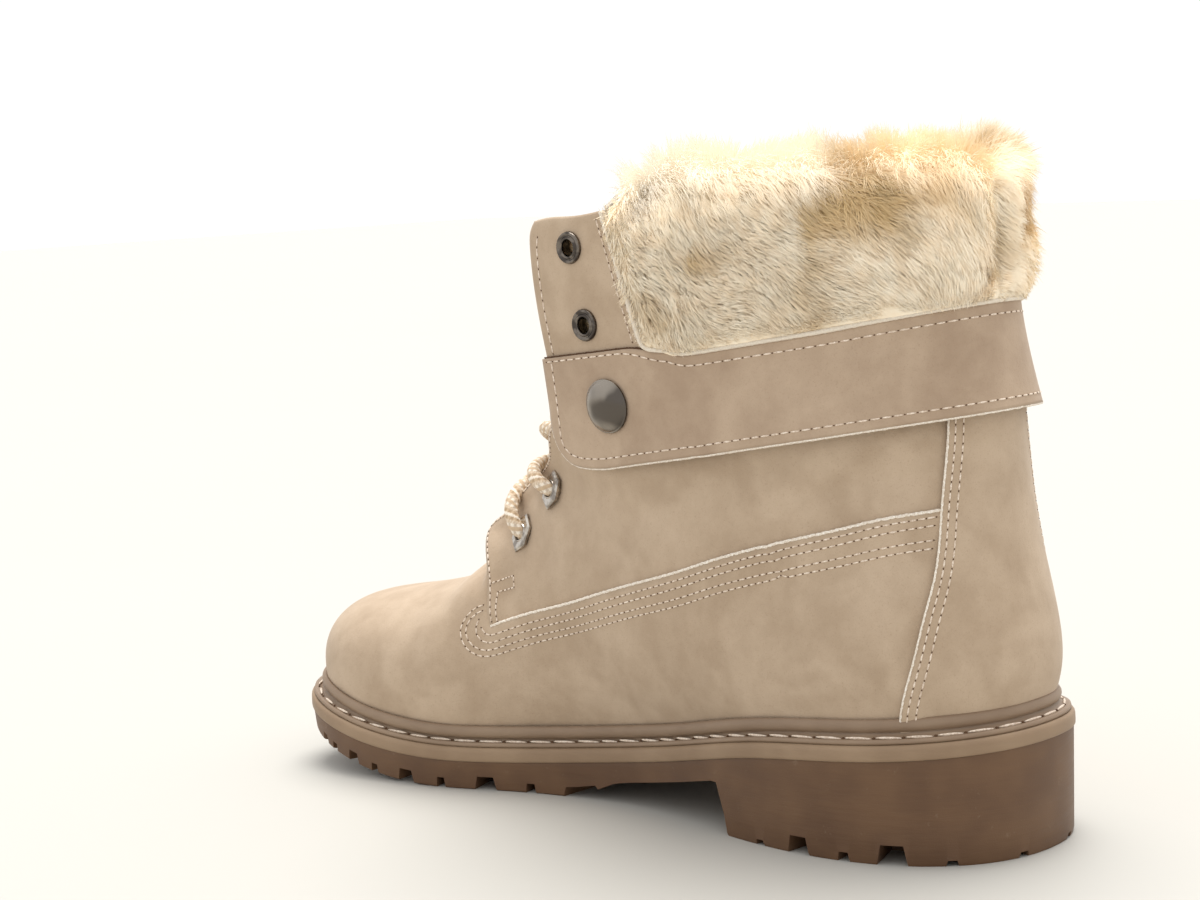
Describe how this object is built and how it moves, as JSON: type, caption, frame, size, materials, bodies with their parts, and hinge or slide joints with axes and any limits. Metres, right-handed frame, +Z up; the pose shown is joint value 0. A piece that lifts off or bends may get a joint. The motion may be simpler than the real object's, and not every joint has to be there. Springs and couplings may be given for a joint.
{
  "type": "fur-cuffed lace-up ankle boot",
  "caption": "Lace-up ankle boot for the right foot, in beige nubuck, with a turned-down fur cuff held by snaps, hex lace eyelets and a brown rubber lug sole with a low block heel.",
  "frame": {"origin": "on the floor under the middle of the heel's flat, 42 mm in front of the back of the heel", "axes": "+X along the foot to the toe, +Y to the inner side of the foot, +Z up"},
  "size_m": [0.2722, 0.0992, 0.193],
  "materials": {
    "nubuck": "soft matte nubuck, lightly mottled",
    "cut_edge": "raw cream cut edge",
    "outsole_rubber": "satin brown rubber",
    "midsole_rubber": "satin taupe rubber",
    "welt_rubber": "satin dark taupe rubber",
    "thread": "twisted thread",
    "lining": "short pile lining",
    "fur": "deep cream fur",
    "gunmetal": "glossy gunmetal",
    "lace_cord": "round braided cord"
  },
  "bodies": {
    "root": {"outsole": "outsole_rubber", "midsole": "midsole_rubber", "welt": "welt_rubber", "insole": "lining", "upper": "nubuck", "tongue": "nubuck", "cuff_band": "nubuck", "fur_collar": "fur", "snap_inner": "gunmetal", "snap_outer": "gunmetal", "round_eyelet_inner_1": "gunmetal", "round_eyelet_inner_2": "gunmetal", "lace_eyelet_inner_1": "gunmetal", "lace_eyelet_inner_2": "gunmetal", "lace_eyelet_inner_3": "gunmetal", "round_eyelet_outer_1": "gunmetal", "round_eyelet_outer_2": "gunmetal", "lace_eyelet_outer_1": "gunmetal", "lace_eyelet_outer_2": "gunmetal", "lace_eyelet_outer_3": "gunmetal", "lace_crossing_1": "lace_cord", "lace_crossing_2": "lace_cord"}
  },
  "joints": []
}
